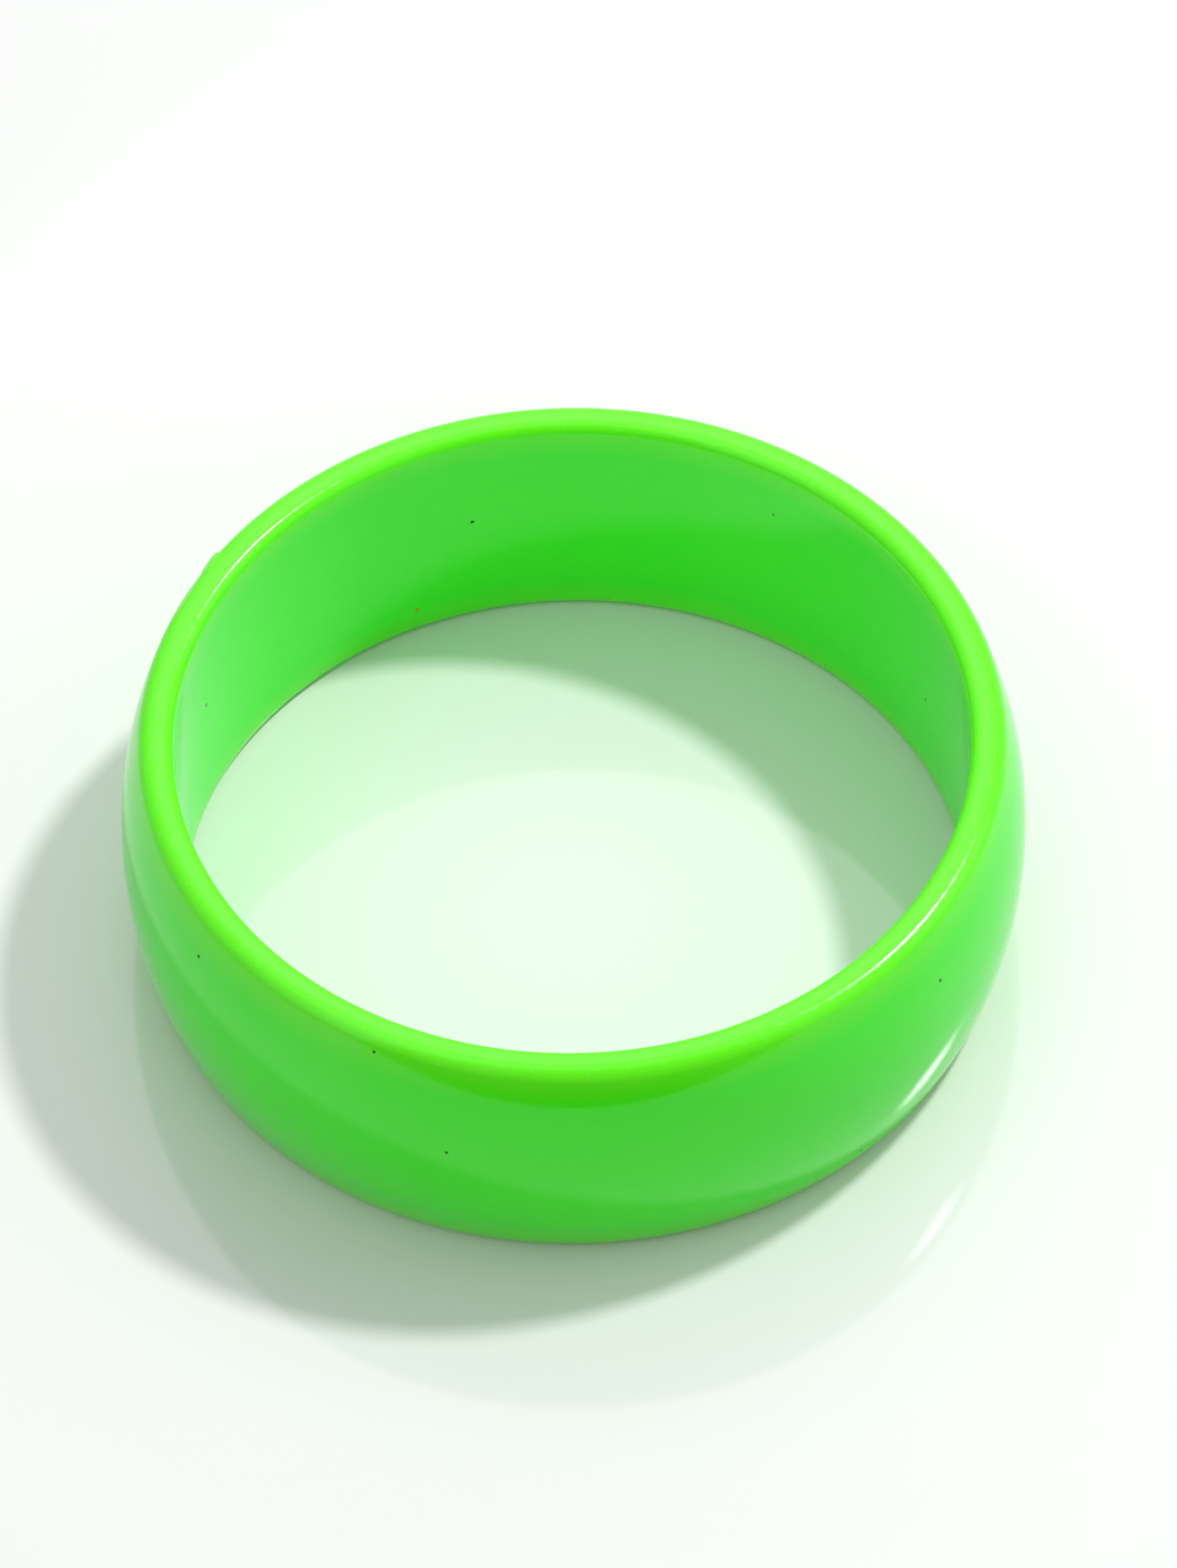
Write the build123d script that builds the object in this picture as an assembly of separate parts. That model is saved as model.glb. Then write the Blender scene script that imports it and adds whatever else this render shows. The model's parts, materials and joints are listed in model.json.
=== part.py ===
from build123d import *

import math
import os

# Wide domed bangle bracelet, one solid moulding in glossy translucent acrylic.
#
# Row frame: millimetres, +Z up along the bangle's axis. The origin is on the axis, in the plane
# that the lower lip rests on, so the band stands from z = 0 to z = BAND_WIDTH.
#
# The band is one closed ring with no seam, hinge or clasp. Its section has a straight inner
# wall, a flat land on each lip, a small round on the inner edges, a larger round on the outer
# edges and one shallow arc across the outside. The only other feature is the trimmed stub of
# the moulding gate, on the outer round of the upper lip.

# Driving dimensions of the band, in mm
INNER_DIAMETER = 66.0  # clear opening for the hand
BAND_WIDTH = 23.4  # lip to lip, along the axis
CROWN_WALL = 4.8  # wall thickness at mid width, the thickest place
LIP_WALL = 2.65  # wall thickness at each lip, before its edges are rounded
INNER_EDGE_RADIUS = 1.0
OUTER_EDGE_RADIUS = 1.5

# The trimmed gate on the upper lip's outer round. One flat knife cut crosses the stub and the band
GATE_ANGLE = 147.4  # the stub's middle, round the axis from +X, in degrees
GATE_LENGTH = 2.4  # along the lip
GATE_WIDTH = 1.0  # across the round
GATE_HEIGHT = 0.2  # how far the trimmed stub stands proud of the round, at its higher end
GATE_UNCUT = 0.5  # how far the stub stands out before it is trimmed
GATE_BELOW_LIP = 0.03  # clearance that lets the band stand, or stack, on its gated lip
GATE_ROOT = 0.6  # how deep the stub starts inside the wall
TRIM_OFFSET = 3.8  # from the stub's middle to the middle of the knife's flat, round the lip
TRIM_LENGTH = 18.0  # size of the cutter, longer than the flat and the stub together

# Sizes that follow from the driving dimensions
INNER_RADIUS = INNER_DIAMETER / 2
LIP_RADIUS = INNER_RADIUS + LIP_WALL
CROWN_RADIUS = INNER_RADIUS + CROWN_WALL
CROWN_RISE = CROWN_WALL - LIP_WALL
HALF_WIDTH = BAND_WIDTH / 2
DOME_RADIUS = (HALF_WIDTH**2 + CROWN_RISE**2) / (2 * CROWN_RISE)
DOME_CENTRE = CROWN_RADIUS - DOME_RADIUS


def gate_rise():
    """The stub's direction above the horizontal, in radians.

    It is as steep as it can be with the stub's upper edge GATE_BELOW_LIP under the lip's plane.
    """
    out = OUTER_EDGE_RADIUS + GATE_HEIGHT
    highest = OUTER_EDGE_RADIUS - GATE_BELOW_LIP
    return math.asin(highest / math.hypot(out, GATE_WIDTH / 2)) - math.atan2(GATE_WIDTH / 2, out)


def outer_round_centre():
    """Distance from the axis and height of the upper outer round's centre.

    The round touches the lip's plane from below and the dome from inside.
    """
    height = BAND_WIDTH - OUTER_EDGE_RADIUS
    reach = DOME_RADIUS - OUTER_EDGE_RADIUS
    return DOME_CENTRE + math.sqrt(reach**2 - (height - HALF_WIDTH) ** 2), height


def band_section():
    """The band's closed section on the XZ plane, with its four rounded edges."""
    with BuildSketch(Plane.XZ) as section:
        with BuildLine():
            Line((LIP_RADIUS, 0), (INNER_RADIUS, 0))
            Line((INNER_RADIUS, 0), (INNER_RADIUS, BAND_WIDTH))
            Line((INNER_RADIUS, BAND_WIDTH), (LIP_RADIUS, BAND_WIDTH))
            ThreePointArc((LIP_RADIUS, BAND_WIDTH), (CROWN_RADIUS, HALF_WIDTH), (LIP_RADIUS, 0))
        make_face()
        fillet(section.vertices().group_by(Axis.X)[0], INNER_EDGE_RADIUS)
        # The first pair of rounds remakes the face, so the outer corners are picked from the new one
        fillet(section.vertices().group_by(Axis.X)[-1], OUTER_EDGE_RADIUS)
    return section.sketch


def gate_radius():
    """Distance from the axis to the place on the round where the gate stands."""
    return outer_round_centre()[0] + OUTER_EDGE_RADIUS * math.cos(gate_rise())


def trim_depth():
    """How far the knife's flat goes below the round, at the flat's middle.

    It leaves the stub GATE_HEIGHT proud of the round at its end furthest from the flat.
    """
    reach = (TRIM_OFFSET + GATE_LENGTH / 2) / gate_radius()
    return gate_radius() * (1 - math.cos(reach)) * math.cos(gate_rise()) - GATE_HEIGHT


def lip_plane(angle, lift):
    """A plane square to the outer round at the gate's rise.

    angle is round the axis in degrees, and lift is how far the plane stands above the round.
    """
    centre, height = outer_round_centre()
    rise, turn = gate_rise(), math.radians(angle)
    out = OUTER_EDGE_RADIUS + lift
    distance = centre + out * math.cos(rise)
    origin = (distance * math.cos(turn), distance * math.sin(turn), height + out * math.sin(rise))
    normal = (math.cos(rise) * math.cos(turn), math.cos(rise) * math.sin(turn), math.sin(rise))
    along = (-math.sin(turn), math.cos(turn), 0)
    return Plane(origin=origin, x_dir=along, z_dir=normal)


def gate_stub():
    """The gate as it leaves the mould, round-ended, before the knife trims it."""
    foot = lip_plane(GATE_ANGLE, -GATE_ROOT) * SlotOverall(GATE_LENGTH, GATE_WIDTH)
    return extrude(foot, GATE_ROOT + GATE_UNCUT)


def trim_cutter():
    """A block whose lower face is the knife's one flat cut, across the stub and the band."""
    angle = GATE_ANGLE + math.degrees(TRIM_OFFSET / gate_radius())
    face = lip_plane(angle, -trim_depth()) * Rectangle(TRIM_LENGTH, 2 * OUTER_EDGE_RADIUS)
    return extrude(face, OUTER_EDGE_RADIUS)


def bangle_band():
    """The whole bangle: one turned ring with its trimmed gate."""
    ring = revolve(band_section(), Axis.Z, 360)
    return ring + gate_stub() - trim_cutter()


os.makedirs("parts", exist_ok=True)
export_step(bangle_band(), "parts/bangle_band.step")
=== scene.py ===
import json
import logging
import math
from dataclasses import dataclass, field
from enum import Enum

import bpy
from mathutils import Euler, Matrix, Vector


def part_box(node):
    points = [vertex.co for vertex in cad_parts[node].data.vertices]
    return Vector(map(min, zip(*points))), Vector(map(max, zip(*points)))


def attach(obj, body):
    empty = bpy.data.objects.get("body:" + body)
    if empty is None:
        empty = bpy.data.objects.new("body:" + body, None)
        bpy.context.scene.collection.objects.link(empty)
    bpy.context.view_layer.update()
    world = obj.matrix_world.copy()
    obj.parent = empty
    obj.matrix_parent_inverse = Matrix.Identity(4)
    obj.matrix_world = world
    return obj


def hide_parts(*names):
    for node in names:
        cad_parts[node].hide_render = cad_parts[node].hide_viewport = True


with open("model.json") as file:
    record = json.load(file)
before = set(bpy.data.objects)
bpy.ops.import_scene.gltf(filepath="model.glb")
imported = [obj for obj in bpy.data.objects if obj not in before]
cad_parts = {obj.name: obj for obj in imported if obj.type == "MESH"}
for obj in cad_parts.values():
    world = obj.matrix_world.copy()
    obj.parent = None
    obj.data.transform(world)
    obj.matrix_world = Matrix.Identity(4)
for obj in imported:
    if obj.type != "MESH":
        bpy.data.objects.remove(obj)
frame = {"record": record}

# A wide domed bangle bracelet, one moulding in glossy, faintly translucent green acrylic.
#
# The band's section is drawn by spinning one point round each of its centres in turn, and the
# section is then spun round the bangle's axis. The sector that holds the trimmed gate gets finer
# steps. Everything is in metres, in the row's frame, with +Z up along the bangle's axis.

LOG = logging.getLogger("bangle")
MM = 0.001
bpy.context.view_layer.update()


def deselect_all() -> None:
    """Leave nothing selected, so that an operator acts only on the piece in hand."""
    for thing in bpy.context.selected_objects:
        thing.select_set(False)


def activate(thing: bpy.types.Object) -> None:
    """Select one object alone and make it the active one.

    Args:
        thing: The object that the next operators act on.
    """
    deselect_all()
    thing.select_set(True)
    bpy.context.view_layer.objects.active = thing


def direction(azimuth: float, elevation: float) -> Vector:
    """Unit vector towards a place given by two angles.

    Args:
        azimuth: Degrees round +Z from +X.
        elevation: Degrees above the floor.

    Returns:
        The direction from the bangle towards that place.
    """
    turn, rise = math.radians(azimuth), math.radians(elevation)
    return Vector((math.cos(rise) * math.cos(turn), math.cos(rise) * math.sin(turn), math.sin(rise)))


@dataclass(frozen=True)
class Section:
    """The band's section: a straight bore wall, two lips, four rounded edges and a domed outside."""

    bore: float
    width: float
    crown: float
    lip_wall: float = 2.65 * MM
    inner_edge: float = 1.0 * MM
    outer_edge: float = 1.5 * MM

    @property
    def half(self) -> float:
        """Half the band's width."""
        return self.width / 2

    @property
    def dome_rise(self) -> float:
        """How far the crown stands out past the lip's outer corner."""
        return self.crown - self.bore - self.lip_wall

    @property
    def dome_radius(self) -> float:
        """Radius of the arc across the outside."""
        return (self.half**2 + self.dome_rise**2) / (2 * self.dome_rise)

    @property
    def dome_centre(self) -> float:
        """Distance from the axis to the centre of the arc across the outside."""
        return self.crown - self.dome_radius

    @property
    def outer_tilt(self) -> float:
        """Angle above the horizontal, in radians, where the dome meets the outer round."""
        return math.asin((self.half - self.outer_edge) / (self.dome_radius - self.outer_edge))

    @property
    def outer_centre(self) -> float:
        """Distance from the axis to the centres of the outer rounds."""
        return self.dome_centre + (self.dome_radius - self.outer_edge) * math.cos(self.outer_tilt)

    @classmethod
    def from_frame(cls) -> "Section":
        """Take the bore from its mount and the other outer sizes from the CAD band's box.

        Returns:
            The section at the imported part's own size.
        """
        low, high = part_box("bangle_band")
        mounts = {mount["name"]: mount for mount in frame["record"]["mounts"]}
        bore = mounts["wrist_opening"]["dims"]["r_mm"] * MM
        return cls(bore=bore, width=high.z - low.z, crown=high.x)


@dataclass(frozen=True)
class Gate:
    """The moulding gate's stub on the upper lip's outer round, trimmed by one flat knife cut."""

    angle: float = 147.4
    length: float = 2.4 * MM
    width: float = 1.0 * MM
    height: float = 0.2 * MM
    below_lip: float = 0.03 * MM
    trim_offset: float = 3.8 * MM
    flank: float = 0.16 * MM
    root: float = 0.6 * MM
    sector_before: float = 3.0
    sector: float = 15.0

    def rise(self, section: Section) -> float:
        """The stub's direction above the horizontal, in radians.

        Args:
            section: The band's section.

        Returns:
            The steepest direction that keeps the stub under the lip's plane.
        """
        out = section.outer_edge + self.height
        highest = section.outer_edge - self.below_lip
        return math.asin(highest / math.hypot(out, self.width / 2)) - math.atan2(self.width / 2, out)

    def radius(self, section: Section) -> float:
        """Distance from the axis to the gate's place on the round.

        Args:
            section: The band's section.

        Returns:
            The distance in metres.
        """
        return section.outer_centre + section.outer_edge * math.cos(self.rise(section))

    def foot(self, section: Section, angle: float) -> tuple[Vector, Vector]:
        """The place and direction on the round at one angle.

        Args:
            section: The band's section.
            angle: Degrees round the axis.

        Returns:
            A point on the outer round and the outward direction there.
        """
        normal = direction(angle, math.degrees(self.rise(section)))
        turn = math.radians(angle)
        centre = Vector((section.outer_centre * math.cos(turn), section.outer_centre * math.sin(turn), 0))
        centre.z = section.width - section.outer_edge
        return centre + normal * section.outer_edge, normal

    def knife(self, section: Section) -> tuple[Vector, Vector]:
        """The knife's flat cut.

        Args:
            section: The band's section.

        Returns:
            A point on the cut and its outward direction.
        """
        radius = self.radius(section)
        reach = (self.trim_offset + self.length / 2) / radius
        depth = radius * (1 - math.cos(reach)) * math.cos(self.rise(section)) - self.height
        place, normal = self.foot(section, self.angle + math.degrees(self.trim_offset / radius))
        return place - normal * depth, normal

    def shape(self, point: Vector, section: Section) -> Vector:
        """Where one point of the plain round goes when the stub is left and the knife has cut it.

        Args:
            point: A point of the spun band.
            section: The band's section.

        Returns:
            The point's new place, on the knife's cut or beneath it.
        """
        cut_place, cut_normal = self.knife(section)
        above = (point - cut_place).dot(cut_normal)
        if above > 0:
            return point - cut_normal * above
        foot, normal = self.foot(section, self.angle)
        along = Vector((0, 0, 1)).cross(normal).normalized()
        away = point - foot
        if away.dot(normal) < -self.root:
            return point.copy()
        past_end = max(abs(away.dot(along)) - (self.length - self.width) / 2, 0.0)
        aside = math.hypot(past_end, away.dot(normal.cross(along)))
        share = min(max((self.width / 2 + self.flank / 2 - aside) / self.flank, 0.0), 1.0)
        raised = share * share * (3 - 2 * share)
        return point - normal * (above / normal.dot(cut_normal)) * raised


@dataclass(frozen=True)
class Specks:
    """Small round spots: colour, cells in a metre, radius in cells, and share of cells left empty."""

    colour: tuple[float, float, float, float]
    cells: float
    size: float
    empty: float


@dataclass(frozen=True)
class Acrylic:
    """Glossy pigmented acrylic: scattering just under the surface, faint swirl, specks, wear and a painted
    highlight on the lips.
    """

    name: str = "green_acrylic"
    pale: tuple[float, float, float, float] = (0.060, 0.965, 0.010, 1.0)
    deep: tuple[float, float, float, float] = (0.034, 0.925, 0.005, 1.0)
    # Painted highlight: a brighter, yellower green laid over both lips, standing in for light catching
    # them.
    painted_lip_highlight: tuple[float, float, float, float] = (0.150, 0.985, 0.014, 1.0)
    dark_specks: Specks = Specks((0.001, 0.050, 0.001, 1.0), cells=500.0, size=0.09, empty=0.84)
    amber_specks: Specks = Specks((0.55, 0.42, 0.02, 1.0), cells=330.0, size=0.07, empty=0.90)
    roughness: float = 0.07
    haze_least: float = 0.6
    haze_most: float = 1.9
    ior: float = 1.49
    scatter_share: float = 0.55
    depth: float = 1.3 * MM
    scatter: tuple[float, float, float] = (0.35, 1.0, 0.22)
    middle: float = 11.7 * MM
    # Where the painted highlight on the lips starts to rise, as a share of the way from mid width to the
    # lip.
    painted_highlight_start: float = 0.7
    wear_start: float = 0.84
    lips_full: float = 0.98
    wear: float = 0.5
    wear_power: float = 2.0
    swirl_cells: float = 55.0
    haze_cells: float = 160.0
    wear_cells: float = 1600.0
    bump_cells: float = 320.0
    noise_detail: float = 4.0
    bump_strength: float = 0.04
    bump_distance: float = 0.05 * MM

    def build(self) -> bpy.types.Material:
        """Make the material and its nodes.

        Returns:
            The finished material.
        """
        material = bpy.data.materials.new(self.name)
        material.use_nodes = True
        tree = material.node_tree
        shader = tree.nodes["Principled BSDF"]
        shader.inputs["IOR"].default_value = self.ior
        shader.inputs["Subsurface Weight"].default_value = self.scatter_share
        shader.inputs["Subsurface Scale"].default_value = self.depth
        shader.inputs["Subsurface Radius"].default_value = self.scatter
        place = tree.nodes.new("ShaderNodeTexCoord").outputs["Object"]
        self._colour(tree, place, shader)
        self._gloss(tree, place, shader)
        return material

    def _noise(self, tree: bpy.types.NodeTree, place: bpy.types.NodeSocket, scale: float) -> bpy.types.Node:
        """Add a noise texture that reads the object's own coordinates.

        Args:
            tree: The material's nodes.
            place: The coordinates' socket.
            scale: Cells in a metre.

        Returns:
            The noise node.
        """
        noise = tree.nodes.new("ShaderNodeTexNoise")
        noise.inputs["Scale"].default_value = scale
        noise.inputs["Detail"].default_value = self.noise_detail
        tree.links.new(place, noise.inputs["Vector"])
        return noise

    def _specks(
        self,
        tree: bpy.types.NodeTree,
        place: bpy.types.NodeSocket,
        green: bpy.types.NodeSocket,
        specks: Specks,
    ) -> bpy.types.NodeSocket:
        """Add a few small round spots to a colour.

        Args:
            tree: The material's nodes.
            place: The coordinates' socket.
            green: The colour's socket.
            specks: Which spots to add.

        Returns:
            The spotted colour's socket.
        """
        cell = tree.nodes.new("ShaderNodeTexVoronoi")
        cell.inputs["Scale"].default_value = specks.cells
        tree.links.new(place, cell.inputs["Vector"])
        inside = self._math(tree, "LESS_THAN", cell.outputs["Distance"], specks.size)
        chosen = self._math(tree, "GREATER_THAN", cell.outputs["Color"], specks.empty)
        return self._blend(tree, self._math(tree, "MULTIPLY", inside, chosen), green, specks.colour)

    def _math(
        self, tree: bpy.types.NodeTree, operation: str, first: bpy.types.NodeSocket, second: object
    ) -> bpy.types.NodeSocket:
        """Join two values by one operation.

        Args:
            tree: The material's nodes.
            operation: The node's operation.
            first: The first value's socket.
            second: A socket or a number.

        Returns:
            The result's socket.
        """
        node = tree.nodes.new("ShaderNodeMath")
        node.operation = operation
        tree.links.new(first, node.inputs[0])
        if isinstance(second, bpy.types.NodeSocket):
            tree.links.new(second, node.inputs[1])
        else:
            node.inputs[1].default_value = second
        return node.outputs[0]

    def _blend(
        self, tree: bpy.types.NodeTree, share: bpy.types.NodeSocket, first: object, second: object
    ) -> bpy.types.NodeSocket:
        """Mix two colours.

        Args:
            tree: The material's nodes.
            share: How much of the second colour shows.
            first: A socket or a colour.
            second: A socket or a colour.

        Returns:
            The mixed colour's socket.
        """
        node = tree.nodes.new("ShaderNodeMix")
        node.data_type = "RGBA"
        tree.links.new(share, node.inputs["Factor"])
        for name, value in (("A", first), ("B", second)):
            socket = next(s for s in node.inputs if s.name == name and s.type == "RGBA")
            if isinstance(value, bpy.types.NodeSocket):
                tree.links.new(value, socket)
            else:
                socket.default_value = value
        return next(s for s in node.outputs if s.type == "RGBA")

    def _colour(
        self, tree: bpy.types.NodeTree, place: bpy.types.NodeSocket, shader: bpy.types.Node
    ) -> None:
        """Swirl two greens, paint a brighter, yellower highlight on the lips where light catches them, and
        add the dark and amber specks.

        Args:
            tree: The material's nodes.
            place: The coordinates' socket.
            shader: The surface's shader.
        """
        swirl = self._noise(tree, place, self.swirl_cells)
        green = self._blend(tree, swirl.outputs["Fac"], self.deep, self.pale)
        # Painted highlight: blend the brighter, yellower green over both lips, standing in for light
        # catching them.
        green = self._blend(tree, self._lips(tree, place, self.painted_highlight_start), green, self.painted_lip_highlight)
        for specks in (self.dark_specks, self.amber_specks):
            green = self._specks(tree, place, green, specks)
        tree.links.new(green, shader.inputs["Base Color"])

    def _lips(
        self, tree: bpy.types.NodeTree, place: bpy.types.NodeSocket, first: float
    ) -> bpy.types.NodeSocket:
        """Mark the lips.

        Args:
            tree: The material's nodes.
            place: The coordinates' socket.
            first: Where it starts to rise, as a share of the way from mid width to the lip.

        Returns:
            A socket that rises from 0 on the walls to 1 on the lips.
        """
        split = tree.nodes.new("ShaderNodeSeparateXYZ")
        tree.links.new(place, split.inputs["Vector"])
        away = self._math(tree, "SUBTRACT", split.outputs["Z"], self.middle)
        lips = tree.nodes.new("ShaderNodeMapRange")
        lips.inputs["From Min"].default_value = self.middle * first
        lips.inputs["From Max"].default_value = self.middle * self.lips_full
        tree.links.new(self._math(tree, "ABSOLUTE", away, 0.0), lips.inputs["Value"])
        return lips.outputs["Result"]

    def _edge_wear(self, tree: bpy.types.NodeTree, place: bpy.types.NodeSocket) -> bpy.types.NodeSocket:
        """How much handling has dulled the gloss, unevenly, on the lips.

        Args:
            tree: The material's nodes.
            place: The coordinates' socket.

        Returns:
            The socket of the roughness to add, which is 0 off the lips.
        """
        patches = self._noise(tree, place, self.wear_cells).outputs["Fac"]
        scuffs = self._math(tree, "POWER", patches, self.wear_power)
        worn = self._math(tree, "MULTIPLY", scuffs, self.wear)
        return self._math(tree, "MULTIPLY", self._lips(tree, place, self.wear_start), worn)

    def _gloss(
        self, tree: bpy.types.NodeTree, place: bpy.types.NodeSocket, shader: bpy.types.Node
    ) -> None:
        """Vary the roughness with handling marks and let the polish waver a little.

        Args:
            tree: The material's nodes.
            place: The coordinates' socket.
            shader: The surface's shader.
        """
        haze = tree.nodes.new("ShaderNodeMapRange")
        haze.inputs["To Min"].default_value = self.roughness * self.haze_least
        haze.inputs["To Max"].default_value = self.roughness * self.haze_most
        tree.links.new(self._noise(tree, place, self.haze_cells).outputs["Fac"], haze.inputs["Value"])
        dulled = self._math(tree, "ADD", haze.outputs["Result"], self._edge_wear(tree, place))
        tree.links.new(dulled, shader.inputs["Roughness"])
        bump = tree.nodes.new("ShaderNodeBump")
        bump.inputs["Strength"].default_value = self.bump_strength
        bump.inputs["Distance"].default_value = self.bump_distance
        tree.links.new(self._noise(tree, place, self.bump_cells).outputs["Fac"], bump.inputs["Height"])
        tree.links.new(bump.outputs["Normal"], shader.inputs["Normal"])


@dataclass
class BangleBand:
    """The bangle's one moulding."""

    section: Section
    gate: Gate = field(default_factory=Gate)
    finish: Acrylic = field(default_factory=Acrylic)
    wall_rows: int = 22
    land_rows: int = 4
    inner_steps: int = 8
    outer_steps: int = 16
    dome_steps: int = 36
    gate_columns: int = 150
    plain_columns: int = 540
    section_merge: float = 0.001 * MM
    ring_merge: float = 0.004 * MM
    waver: float = 0.012 * MM
    waver_height: float = 5 * MM
    swells: int = 3
    swell_start: float = 0.4
    ripples: int = 7
    ripple_share: float = 0.6
    smooth_angle: float = 40.0
    piece: bpy.types.Object | None = None

    def build(self) -> bpy.types.Object:
        """Draw the section, spin it, shape the gate, dress the piece and put it in the frame.

        Returns:
            The finished piece.
        """
        self._start_point()
        self._draw_section()
        self._spin_band()
        self._turn_to_gate()
        self._shape_gate_and_polish()
        self._dress()
        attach(self.piece, "root")
        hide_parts("bangle_band")
        return self.piece

    def _start_point(self) -> None:
        """Shrink a small plane to one point at the foot of the bore wall."""
        deselect_all()
        place = (self.section.bore, 0, self.section.inner_edge)
        bpy.ops.mesh.primitive_plane_add(size=self.section.inner_edge, location=place)
        self.piece = bpy.context.active_object
        self.piece.name = "bangle_moulding"
        bpy.ops.object.transform_apply(location=True, rotation=False, scale=False)
        bpy.ops.object.mode_set(mode="EDIT")
        bpy.ops.mesh.select_mode(type="VERT")
        bpy.ops.mesh.select_all(action="SELECT")
        bpy.ops.mesh.merge(type="CENTER")

    def _line(self, way: Vector, rows: int) -> None:
        """Carry the selected point along a straight stretch.

        Args:
            way: The whole stretch.
            rows: How many edges it is divided into.
        """
        for _ in range(rows):
            bpy.ops.mesh.extrude_vertices_move(TRANSFORM_OT_translate={"value": way / rows})

    def _arc(self, radius: float, height: float, angle: float, steps: int) -> None:
        """Carry the selected point round a centre on the section's plane.

        Args:
            radius: The centre's distance from the axis.
            height: The centre's height.
            angle: How far it turns, in radians, from +Z towards +X.
            steps: How many edges the arc is divided into.
        """
        bpy.ops.mesh.spin(steps=steps, angle=angle, center=(radius, 0, height), axis=(0, -1, 0))

    def _draw_section(self) -> None:
        """Draw the closed section, up the bore wall, over the upper lip and back by the dome."""
        s = self.section
        quarter = math.pi / 2
        inner_centre = s.bore + s.inner_edge
        land = s.outer_centre - inner_centre
        outer_turn = quarter - s.outer_tilt
        self._line(Vector((0, 0, s.width - 2 * s.inner_edge)), self.wall_rows)
        self._arc(inner_centre, s.width - s.inner_edge, quarter, self.inner_steps)
        self._line(Vector((land, 0, 0)), self.land_rows)
        self._arc(s.outer_centre, s.width - s.outer_edge, outer_turn, self.outer_steps)
        self._arc(s.dome_centre, s.half, 2 * s.outer_tilt, self.dome_steps)
        self._arc(s.outer_centre, s.outer_edge, outer_turn, self.outer_steps)
        self._line(Vector((-land, 0, 0)), self.land_rows)
        self._arc(inner_centre, s.inner_edge, quarter, self.inner_steps)

    def _spin_band(self) -> None:
        """Spin the section round the axis, finely past the gate and more widely elsewhere."""
        gate_turn = math.radians(self.gate.sector)
        bpy.ops.mesh.select_all(action="SELECT")
        bpy.ops.mesh.remove_doubles(threshold=self.section_merge)
        bpy.ops.mesh.select_all(action="SELECT")
        for steps, angle in ((self.gate_columns, gate_turn), (self.plain_columns, 2 * math.pi - gate_turn)):
            bpy.ops.mesh.spin(steps=steps, angle=angle, center=(0, 0, 0), axis=(0, 0, -1))
        bpy.ops.mesh.select_all(action="SELECT")
        bpy.ops.mesh.remove_doubles(threshold=self.ring_merge)
        bpy.ops.mesh.normals_make_consistent(inside=False)
        bpy.ops.object.mode_set(mode="OBJECT")

    def _turn_to_gate(self) -> None:
        """Turn the band so that its finely divided sector lies at the gate."""
        activate(self.piece)
        turn = math.radians(self.gate.angle - self.gate.sector_before)
        self.piece.rotation_euler = Euler((0, 0, turn))
        bpy.ops.object.transform_apply(location=False, rotation=True, scale=False)

    def _polish(self, point: Vector) -> Vector:
        """Move one point inwards by the small wavering that hand polishing leaves on the outside.

        Args:
            point: A point of the band.

        Returns:
            The point's new place, never further out than before.
        """
        out = point.xy.length
        if out < self.section.outer_centre:
            return point
        turn = math.atan2(point.y, point.x)
        most = 1 + self.ripple_share
        swell = math.sin(self.swells * turn + self.swell_start)
        ripple = self.ripple_share * math.sin(self.ripples * turn + point.z / self.waver_height)
        sink = self.waver * (swell + ripple + most) / (2 * most)
        scale = (out - sink) / out
        return Vector((point.x * scale, point.y * scale, point.z))

    def _shape_gate_and_polish(self) -> None:
        """Waver the outside, then cut the knife's flat and raise the gate's stub."""
        first = math.radians(self.gate.angle - self.gate.sector_before)
        last = first + math.radians(self.gate.sector)
        for vertex in self.piece.data.vertices:
            vertex.co = self._polish(vertex.co)
            turn = math.atan2(vertex.co.y, vertex.co.x)
            upper = vertex.co.z > self.section.half and vertex.co.xy.length > self.section.outer_centre
            if upper and first < turn < last:
                vertex.co = self.gate.shape(vertex.co, self.section)
        self.piece.data.update()

    def _dress(self) -> None:
        """Smooth the piece and give it its acrylic."""
        activate(self.piece)
        bpy.ops.object.shade_smooth_by_angle(angle=math.radians(self.smooth_angle))
        self.piece.data.materials.clear()
        self.piece.data.materials.append(self.finish.build())


class Lamp(Enum):
    """The studio's lamps: azimuth and elevation in degrees, distance and size in metres, watts."""

    KEY = (32.0, 59.0, 0.9, 0.085, 4.5)
    BACK = (90.0, 52.0, 0.9, 0.30, 0.20)
    BACK_WIDE = (92.0, 40.0, 1.1, 1.10, 1.5)
    OVERHEAD = (200.0, 78.0, 0.9, 0.70, 0.7)
    FRONT_LEFT = (232.0, 38.0, 1.0, 1.00, 0.8)
    SIDE = (10.0, 30.0, 0.8, 0.45, 0.5)


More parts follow.
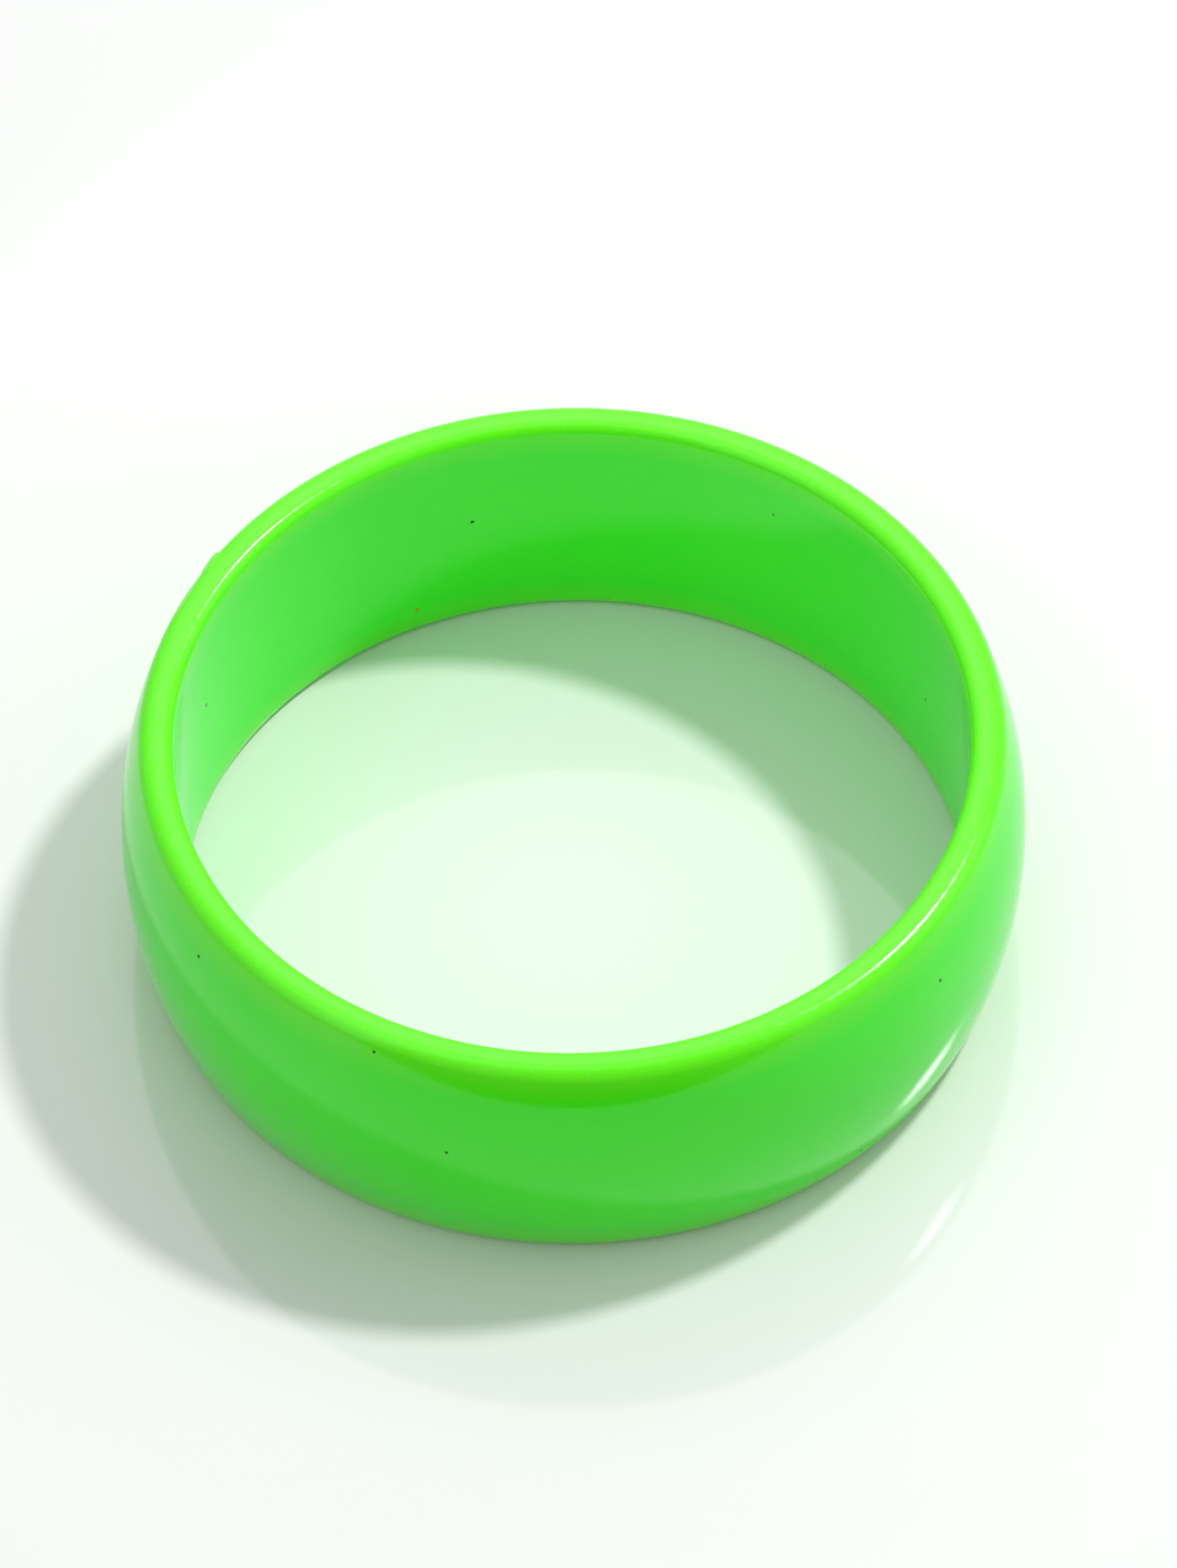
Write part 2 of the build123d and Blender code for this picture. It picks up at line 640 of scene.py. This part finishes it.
@dataclass
class Studio:
    """The pale floor, the soft lamps and the camera."""

    section: Section
    azimuth: float = 270.0
    elevation: float = 51.2
    roll: float = 0.97
    distance: float = 897 * MM
    lens: float = 246.5
    aside: float = 1.23 * MM
    above: float = 2.94 * MM
    world: float = 0.46
    floor_reach: float = 3.0
    floor_colour: tuple[float, float, float, float] = (0.82, 0.83, 0.82, 1.0)
    floor_roughness: float = 0.07
    card_colour: tuple[float, float, float, float] = (0.002, 0.002, 0.002, 1.0)
    sensor_height: float = 36.0
    card_distance: float = 84 * MM
    card_width: float = 150 * MM
    card_height: float = 420 * MM

    def build(self) -> None:
        """Set up the floor, the lamps, the surroundings and the camera."""
        self._floor()
        self._gloss_card()
        for lamp in Lamp:
            self._lamp(lamp)
        self._surroundings()
        self._camera()
        bpy.context.scene.view_settings.view_transform = "Standard"

    def _floor(self) -> None:
        """Lay a plain pale floor under the lower lip."""
        deselect_all()
        bpy.ops.mesh.primitive_plane_add(size=self.floor_reach, location=(0, 0, 0))
        floor = bpy.context.active_object
        floor.name = "studio_floor"
        material = bpy.data.materials.new("pale_floor")
        material.use_nodes = True
        shader = material.node_tree.nodes["Principled BSDF"]
        shader.inputs["Base Color"].default_value = self.floor_colour
        shader.inputs["Roughness"].default_value = self.floor_roughness
        floor.data.materials.append(material)

    def _gloss_card(self) -> None:
        """Stand a black card in front of the bangle, which shows only as a dark reflection in its gloss."""
        deselect_all()
        place = (0, -self.card_distance, self.card_height / 2)
        bpy.ops.mesh.primitive_plane_add(size=1, location=place, rotation=(math.pi / 2, 0, 0))
        card = bpy.context.active_object
        card.name = "gloss_card"
        card.scale = (self.card_width, self.card_height, 1)
        material = bpy.data.materials.new("black_card")
        material.use_nodes = True
        shader = material.node_tree.nodes["Principled BSDF"]
        shader.inputs["Base Color"].default_value = self.card_colour
        shader.inputs["Roughness"].default_value = 1.0
        shader.inputs["Specular IOR Level"].default_value = 0.0
        card.data.materials.append(material)
        card.visible_camera = False
        card.visible_diffuse = False
        card.visible_shadow = False
        card.visible_transmission = False

    def _lamp(self, lamp: Lamp) -> None:
        """Hang one lamp, aimed at the bangle.

        Args:
            lamp: Which lamp to hang.
        """
        azimuth, elevation, distance, size, watts = lamp.value
        data = bpy.data.lights.new(f"{lamp.name.lower()}_lamp", "AREA")
        data.shape = "DISK"
        data.size = size
        data.energy = watts
        away = direction(azimuth, elevation)
        placed = bpy.data.objects.new(data.name, data)
        placed.location = away * distance
        placed.rotation_euler = away.to_track_quat("Z", "Y").to_euler()
        bpy.context.scene.collection.objects.link(placed)

    def _surroundings(self) -> None:
        """Surround the set with even pale light."""
        world = bpy.data.worlds.new("pale_surroundings")
        world.use_nodes = True
        background = world.node_tree.nodes["Background"]
        background.inputs["Color"].default_value = (1.0, 1.0, 1.0, 1.0)
        background.inputs["Strength"].default_value = self.world
        bpy.context.scene.world = world

    def _camera(self) -> None:
        """Look down at the bangle with a long lens, a little to one side and above its middle."""
        away = direction(self.azimuth, self.elevation)
        level = Vector((0, 0, 1)).cross(away).normalized()
        upright = away.cross(level)
        roll = math.radians(self.roll)
        right = level * math.cos(roll) - upright * math.sin(roll)
        top = level * math.sin(roll) + upright * math.cos(roll)
        middle = Vector((0, 0, self.section.half))
        data = bpy.data.cameras.new("camera")
        data.sensor_fit = "VERTICAL"
        data.sensor_height = self.sensor_height
        data.lens = self.lens
        camera = bpy.data.objects.new("camera", data)
        place = middle + away * self.distance + right * self.aside + top * self.above
        camera.matrix_world = Matrix.Translation(place) @ Matrix((right, top, away)).transposed().to_4x4()
        bpy.context.scene.collection.objects.link(camera)
        bpy.context.scene.camera = camera


def main() -> None:
    """Build the bangle and the studio, and report each piece."""
    logging.basicConfig(level=logging.INFO)
    section = Section.from_frame()
    piece = BangleBand(section).build()
    LOG.info("%s: %d faces", piece.name, len(piece.data.polygons))
    Studio(section).build()


if __name__ == "__main__":
    main()
